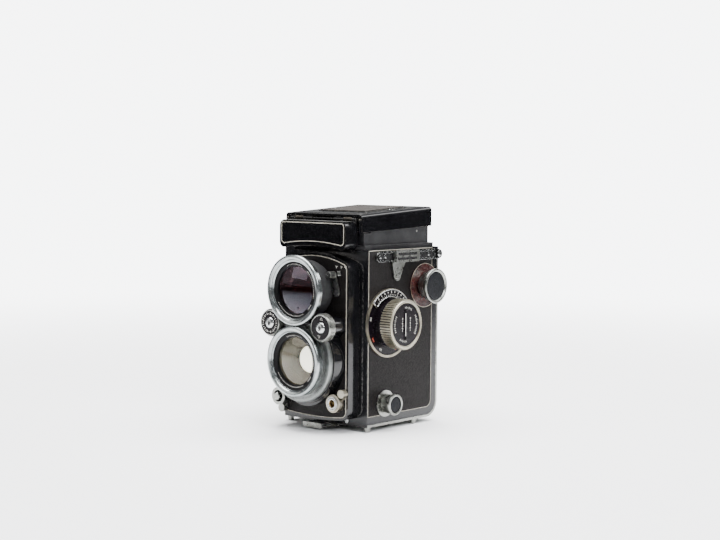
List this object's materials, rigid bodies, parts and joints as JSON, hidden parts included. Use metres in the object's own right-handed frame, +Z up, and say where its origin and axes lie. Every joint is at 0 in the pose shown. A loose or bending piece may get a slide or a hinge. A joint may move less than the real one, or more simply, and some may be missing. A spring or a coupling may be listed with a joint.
{
  "type": "twin lens reflex camera",
  "caption": "Twin lens reflex film camera with a folding viewing hood, focusing lens board, hinged back and winding crank.",
  "frame": {"origin": "centre of the tripod socket's mouth, under the body", "axes": "+X to the right of someone facing the lenses, +Y from the lenses to the back, +Z up"},
  "size_m": [0.1059, 0.1083, 0.1479],
  "materials": {
    "black_enamel": "glossy black enamel",
    "black_paint": "satin black paint",
    "matte_black": "matt black inside paint",
    "satin_chrome": "satin chrome",
    "bright_chrome": "polished chrome",
    "aged_nickel": "worn nickel",
    "leather": "fine grained black-brown leatherette",
    "grey_leather": "worn grey leatherette",
    "engraved_ring": "silver ring with engraved ticks",
    "black_dial": "black dial with filled ticks",
    "red_dial": "red-brown dial",
    "steel": "bare steel",
    "spring_steel": "spring steel",
    "aluminium": "bare aluminium",
    "casting": "black painted casting",
    "lens_glass": "coated glass",
    "screen_glass": "ground glass",
    "mirror_glass": "front silvered",
    "brass": "plain brass"
  },
  "bodies": {
    "camera": {"body_casting": "casting", "side_leathers": "leather", "light_trap_sleeve": "black_paint", "nameplate_housing": "black_enamel", "hood_base": "black_enamel", "hood_hinge_hardware": "spring_steel", "focusing_screen": "screen_glass", "reflex_mirror": "mirror_glass", "light_cone": "matte_black", "film_gate": "aluminium", "focus_flange": "satin_chrome", "strap_rail_right": "satin_chrome", "strap_rail_left": "satin_chrome", "strap_loop_right": "satin_chrome", "strap_loop_left": "satin_chrome", "body_screws": "bright_chrome", "knob_bushes": "bright_chrome", "crank_base": "satin_chrome"},
    "focus_knob_body": {"focus_knob": "aged_nickel", "distance_disc": "black_dial"},
    "reminder": {"film_reminder_disc": "black_dial"},
    "lens_board_body": {"lens_board": "black_enamel", "shutter_housing": "black_paint", "scale_ring": "engraved_ring", "viewing_barrel": "black_paint", "taking_barrel": "black_paint", "viewing_rim": "bright_chrome", "taking_rim": "bright_chrome", "viewing_glass": "lens_glass", "taking_glass": "lens_glass", "flash_socket": "bright_chrome"},
    "aperture_wheel_body": {"aperture_wheel": "black_dial"},
    "speed_wheel_body": {"speed_wheel": "black_dial"},
    "release_button_body": {"release_button": "bright_chrome"},
    "release_lock_body": {"release_lock": "aged_nickel"},
    "flash_lock_body": {"flash_lock": "aged_nickel"},
    "sync_lever_body": {"sync_lever": "satin_chrome"},
    "sync_button_body": {"sync_button": "bright_chrome"},
    "hood_lid_body": {"hood_lid": "black_enamel", "finder_panel": "grey_leather"},
    "left_flap_body": {"left_flap": "black_paint"},
    "right_flap_body": {"right_flap": "black_paint"},
    "rear_flap_body": {"rear_flap": "black_paint"},
    "magnifier_body": {"magnifier": "black_paint"},
    "back_door_body": {"back_door": "satin_chrome", "back_leather": "leather", "feet": "satin_chrome", "tripod_socket": "brass"},
    "pressure_plate_body": {"pressure_plate": "matte_black"},
    "back_latch_body": {"back_latch": "bright_chrome"},
    "latch_lock_body": {"latch_lock": "satin_chrome"},
    "takeup_knob_body": {"takeup_knob": "satin_chrome"},
    "feed_knob_body": {"feed_knob": "satin_chrome"},
    "film_dial_body": {"film_dial": "red_dial"},
    "crank_body": {"crank": "satin_chrome"},
    "crank_handle_body": {"crank_handle": "satin_chrome"},
    "spool": {"takeup_spool": "matte_black", "spool_gear": "steel"},
    "upper_roller": {"upper_film_roller": "steel"},
    "lower_roller": {"lower_film_roller": "steel"}
  },
  "joints": [
    {"name": "focus_turn", "type": "hinge", "parent": "camera", "child": "focus_knob_body", "pos_m": [0.053, -0.0154, 0.0706], "axis": [1, 0, 0], "range_deg": [0, 270]},
    {"name": "board_slide", "type": "slide", "parent": "camera", "child": "lens_board_body", "axis": [0, -1, 0], "range_m": [0, 0.0075]},
    {"name": "reminder_turn", "type": "hinge", "parent": "focus_knob_body", "child": "reminder", "pos_m": [0.053, -0.0154, 0.0706], "axis": [1, 0, 0], "continuous": true},
    {"name": "aperture_turn", "type": "hinge", "parent": "lens_board_body", "child": "aperture_wheel_body", "pos_m": [-0.0229, -0.064, 0.06993], "axis": [0, -1, 0], "range_deg": [0, 150]},
    {"name": "speed_turn", "type": "hinge", "parent": "lens_board_body", "child": "speed_wheel_body", "pos_m": [0.0229, -0.064, 0.06993], "axis": [0, -1, 0], "range_deg": [0, 240]},
    {"name": "release_press", "type": "slide", "parent": "lens_board_body", "child": "release_button_body", "axis": [0, 1, 0], "range_m": [0, 0.003], "stiffness_N_per_m": 300, "springref_m": -0.001},
    {"name": "release_lock_turn", "type": "hinge", "parent": "lens_board_body", "child": "release_lock_body", "pos_m": [-0.024, -0.05, 0.0196], "axis": [0, -1, 0], "range_deg": [0, 60]},
    {"name": "flash_lock_turn", "type": "hinge", "parent": "lens_board_body", "child": "flash_lock_body", "pos_m": [0.022, -0.05, 0.0189], "axis": [0, 1, 0], "range_deg": [0, 45]},
    {"name": "sync_turn", "type": "hinge", "parent": "lens_board_body", "child": "sync_lever_body", "pos_m": [0.0192, -0.05, 0.1034], "axis": [0, -1, 0], "range_deg": [0, 50]},
    {"name": "sync_press", "type": "slide", "parent": "lens_board_body", "child": "sync_button_body", "axis": [0, 1, 0], "range_m": [0, 0.0007], "stiffness_N_per_m": 200, "springref_m": -0.001},
    {"name": "lid_swing", "type": "hinge", "parent": "camera", "child": "hood_lid_body", "pos_m": [0, -0.038, 0.1396], "axis": [1, 0, 0], "range_deg": [0, 90]},
    {"name": "left_flap_swing", "type": "hinge", "parent": "camera", "child": "left_flap_body", "pos_m": [-0.0289, 0, 0.125], "axis": [0, -1, 0], "range_deg": [0, 90]},
    {"name": "right_flap_swing", "type": "hinge", "parent": "camera", "child": "right_flap_body", "pos_m": [0.0289, 0, 0.125], "axis": [0, 1, 0], "range_deg": [0, 90]},
    {"name": "rear_flap_swing", "type": "hinge", "parent": "camera", "child": "rear_flap_body", "pos_m": [0, 0.0297, 0.1278], "axis": [-1, 0, 0], "range_deg": [0, 90]},
    {"name": "magnifier_swing", "type": "hinge", "parent": "hood_lid_body", "child": "magnifier_body", "pos_m": [0, 0.02, 0.14165], "axis": [1, 0, 0], "range_deg": [0, 90]},
    {"name": "door_swing", "type": "hinge", "parent": "camera", "child": "back_door_body", "pos_m": [0, 0.0369, 0.1147], "axis": [1, 0, 0], "range_deg": [0, 105]},
    {"name": "plate_press", "type": "slide", "parent": "back_door_body", "child": "pressure_plate_body", "axis": [0, 1, 0], "range_m": [0, 0.0008], "stiffness_N_per_m": 1500, "springref_m": -0.002},
    {"name": "latch_swing", "type": "hinge", "parent": "back_door_body", "child": "back_latch_body", "pos_m": [0, -0.033, 0.0011], "axis": [1, 0, 0], "range_deg": [0, 60]},
    {"name": "latch_lock_turn", "type": "hinge", "parent": "back_door_body", "child": "latch_lock_body", "pos_m": [0, 0, 0.0013], "axis": [0, 0, 1], "range_deg": [0, 45]},
    {"name": "takeup_pull", "type": "slide", "parent": "camera", "child": "takeup_knob_body", "axis": [1, 0, 0], "range_m": [0, 0.006], "stiffness_N_per_m": 300, "springref_m": -0.002},
    {"name": "feed_pull", "type": "slide", "parent": "camera", "child": "feed_knob_body", "axis": [1, 0, 0], "range_m": [0, 0.006], "stiffness_N_per_m": 300, "springref_m": -0.002},
    {"name": "film_dial_turn", "type": "hinge", "parent": "camera", "child": "film_dial_body", "pos_m": [0.038, 0.022, 0.0937], "axis": [1, 0, 0], "continuous": true},
    {"name": "crank_turn", "type": "hinge", "parent": "camera", "child": "crank_body", "pos_m": [-0.045, -0.00071, 0.0684], "axis": [-1, 0, 0], "continuous": true},
    {"name": "handle_fold", "type": "hinge", "parent": "crank_body", "child": "crank_handle_body", "pos_m": [-0.04475, -0.00071, 0.04465], "axis": [0, -1, 0], "range_deg": [0, 90]},
    {"name": "spool_turn", "type": "hinge", "parent": "camera", "child": "spool", "pos_m": [0, 0.022, 0.0937], "axis": [1, 0, 0], "continuous": true},
    {"name": "upper_roller_turn", "type": "hinge", "parent": "camera", "child": "upper_roller", "pos_m": [0, 0.0259, 0.0773], "axis": [1, 0, 0], "continuous": true},
    {"name": "lower_roller_turn", "type": "hinge", "parent": "camera", "child": "lower_roller", "pos_m": [0, 0.0259, 0.01455], "axis": [1, 0, 0], "continuous": true}
  ],
  "couplings": [
    {"joint": "focus_turn", "follows": "board_slide", "rad_per_m": 628.32},
    {"joint": "left_flap_swing", "follows": "lid_swing", "ratio": 1},
    {"joint": "right_flap_swing", "follows": "lid_swing", "ratio": 1},
    {"joint": "rear_flap_swing", "follows": "lid_swing", "ratio": 1},
    {"joint": "magnifier_swing", "follows": "lid_swing", "ratio": 1},
    {"joint": "spool_turn", "follows": "crank_turn", "ratio": 1.8333}
  ]
}
